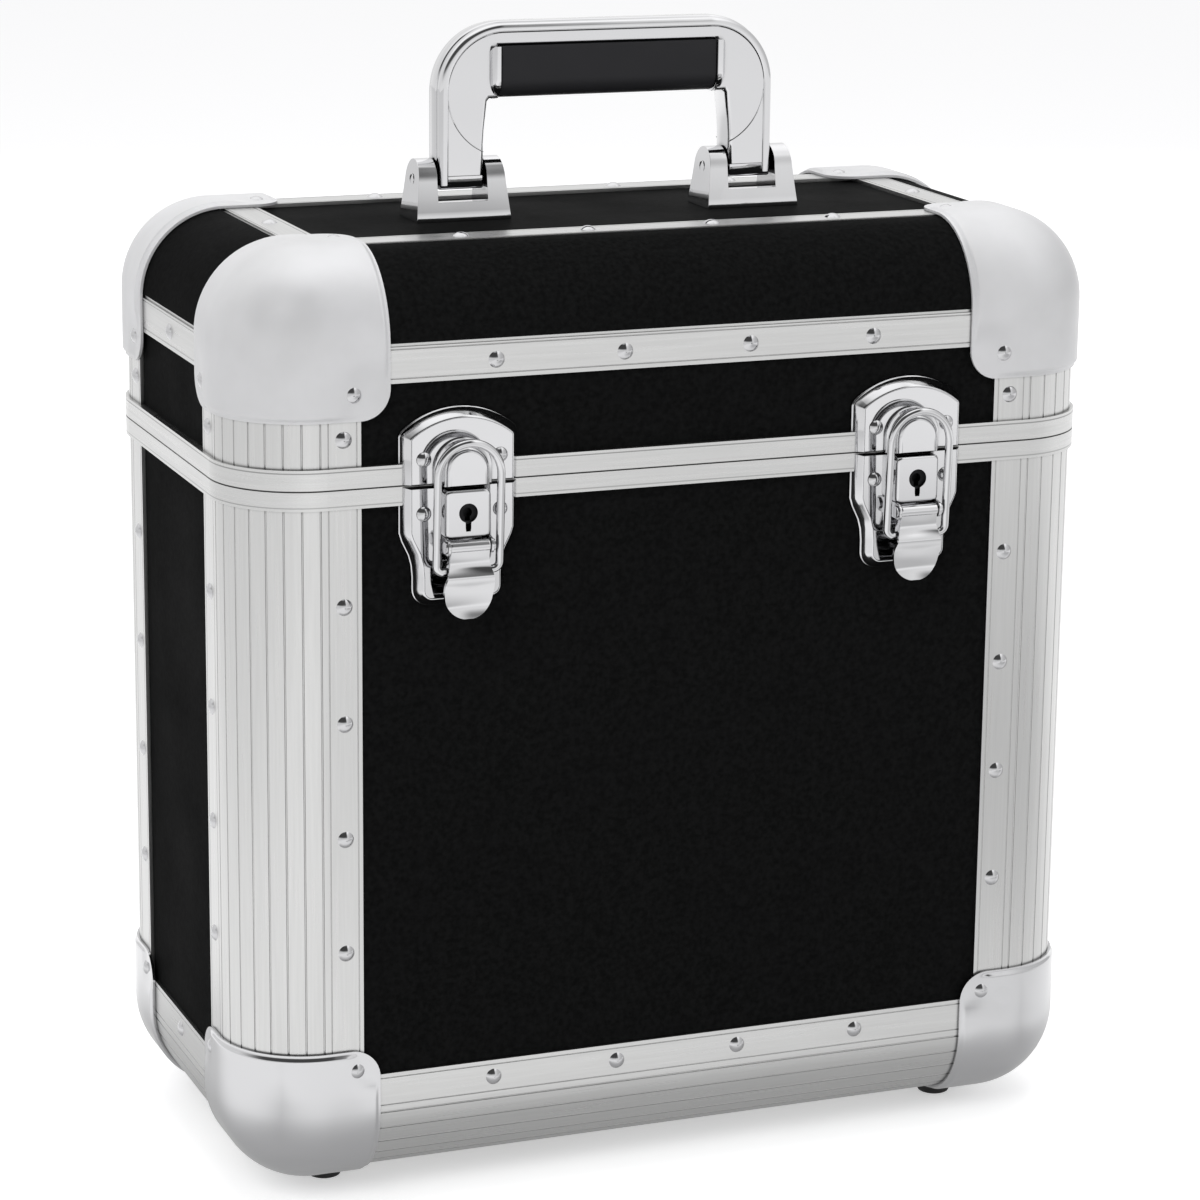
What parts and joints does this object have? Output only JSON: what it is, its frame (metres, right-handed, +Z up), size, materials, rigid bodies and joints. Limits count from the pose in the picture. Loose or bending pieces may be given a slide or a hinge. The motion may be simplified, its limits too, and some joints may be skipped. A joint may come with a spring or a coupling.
{
  "type": "record carrying case",
  "caption": "Upright carrying case for long-playing records, with laminate panels in fluted aluminium edges, ball corners, toggle latches, hinged lid and folding handle.",
  "frame": {"origin": "on the floor, under the middle of the outline", "axes": "+Z up, -Y the front with the latches, +X to the right as seen from the front"},
  "size_m": [0.3704, 0.214, 0.46],
  "materials": {
    "laminate": "black laminate, satin",
    "aluminium": "anodised, fine brushed",
    "satin_corner": "satin pressed metal",
    "polished_corner": "polished pressed metal",
    "felt": "felt",
    "rivet_steel": "plain",
    "lock_steel": "dark, oiled",
    "hinge_steel": "zinc plated",
    "latch_chrome": "bright chrome",
    "handle_chrome": "bright chrome",
    "rubber": "matte",
    "grip": "satin, fine grain"
  },
  "bodies": {
    "body": {"base_panel": "laminate", "front_panel": "laminate", "back_panel": "laminate", "left_panel": "laminate", "right_panel": "laminate", "corner_profile_front_left": "aluminium", "corner_profile_front_right": "aluminium", "corner_profile_back_left": "aluminium", "corner_profile_back_right": "aluminium", "bottom_profile_front": "aluminium", "bottom_profile_back": "aluminium", "bottom_profile_left": "aluminium", "bottom_profile_right": "aluminium", "bottom_corner_front_left": "polished_corner", "bottom_corner_front_right": "polished_corner", "bottom_corner_back_left": "polished_corner", "bottom_corner_back_right": "polished_corner", "body_closure_frame": "aluminium", "body_lining": "felt", "body_rivets": "rivet_steel", "rubber_feet": "rubber", "foot_screws": "rivet_steel", "latch_plate_left": "latch_chrome", "latch_plate_right": "latch_chrome", "latch_pins": "rivet_steel", "hinge_body_leaves": "hinge_steel", "hinge_pins": "rivet_steel"},
    "lid": {"hinge_lid_leaves": "hinge_steel", "top_panel": "laminate", "lid_front_panel": "laminate", "lid_back_panel": "laminate", "lid_left_panel": "laminate", "lid_right_panel": "laminate", "top_profile_front": "aluminium", "top_profile_back": "aluminium", "top_profile_left": "aluminium", "top_profile_right": "aluminium", "edge_inlays": "laminate", "lid_corner_profiles": "aluminium", "top_corner_front_left": "satin_corner", "top_corner_front_right": "satin_corner", "top_corner_back_left": "satin_corner", "top_corner_back_right": "satin_corner", "lid_closure_frame": "aluminium", "lid_lining": "felt", "lid_rivets": "rivet_steel", "latch_catch_left": "latch_chrome", "latch_catch_right": "latch_chrome", "handle_foot_left": "handle_chrome", "handle_foot_right": "handle_chrome", "handle_pins": "rivet_steel"},
    "handle": {"handle_frame": "handle_chrome", "handle_grip": "grip"},
    "lever_left": {"latch_lever_left": "latch_chrome"},
    "bail_left": {"latch_bail_left": "latch_chrome"},
    "lock_left": {"lock_plug_left": "lock_steel"},
    "lever_right": {"latch_lever_right": "latch_chrome"},
    "bail_right": {"latch_bail_right": "latch_chrome"},
    "lock_right": {"lock_plug_right": "lock_steel"}
  },
  "joints": [
    {"name": "lid_hinge", "type": "hinge", "parent": "body", "child": "lid", "pos_m": [0, 0.104, 0.29485], "axis": [-1, 0, 0], "range_deg": [0, 105]},
    {"name": "handle_fold", "type": "hinge", "parent": "lid", "child": "handle", "pos_m": [0, 0.0042, 0.3975], "axis": [1, 0, 0], "range_deg": [-88, 88]},
    {"name": "latch_lever_left", "type": "hinge", "parent": "body", "child": "lever_left", "pos_m": [-0.095, -0.1038, 0.2722], "axis": [-1, 0, 0], "range_deg": [0, 135]},
    {"name": "latch_bail_left", "type": "hinge", "parent": "lever_left", "child": "bail_left", "pos_m": [-0.095, -0.1023, 0.2622], "axis": [-1, 0, 0], "range_deg": [-145, 0]},
    {"name": "lock_turn_left", "type": "hinge", "parent": "body", "child": "lock_left", "pos_m": [-0.095, -0.0988, 0.2849], "axis": [0, 1, 0], "range_deg": [0, 90]},
    {"name": "latch_lever_right", "type": "hinge", "parent": "body", "child": "lever_right", "pos_m": [0.095, -0.1038, 0.2722], "axis": [-1, 0, 0], "range_deg": [0, 135]},
    {"name": "latch_bail_right", "type": "hinge", "parent": "lever_right", "child": "bail_right", "pos_m": [0.095, -0.1023, 0.2622], "axis": [-1, 0, 0], "range_deg": [-145, 0]},
    {"name": "lock_turn_right", "type": "hinge", "parent": "body", "child": "lock_right", "pos_m": [0.095, -0.0988, 0.2849], "axis": [0, 1, 0], "range_deg": [0, 90]}
  ],
  "couplings": [
    {"joint": "latch_bail_left", "follows": "latch_lever_left", "ratio": -1.074},
    {"joint": "latch_bail_right", "follows": "latch_lever_right", "ratio": -1.074}
  ]
}
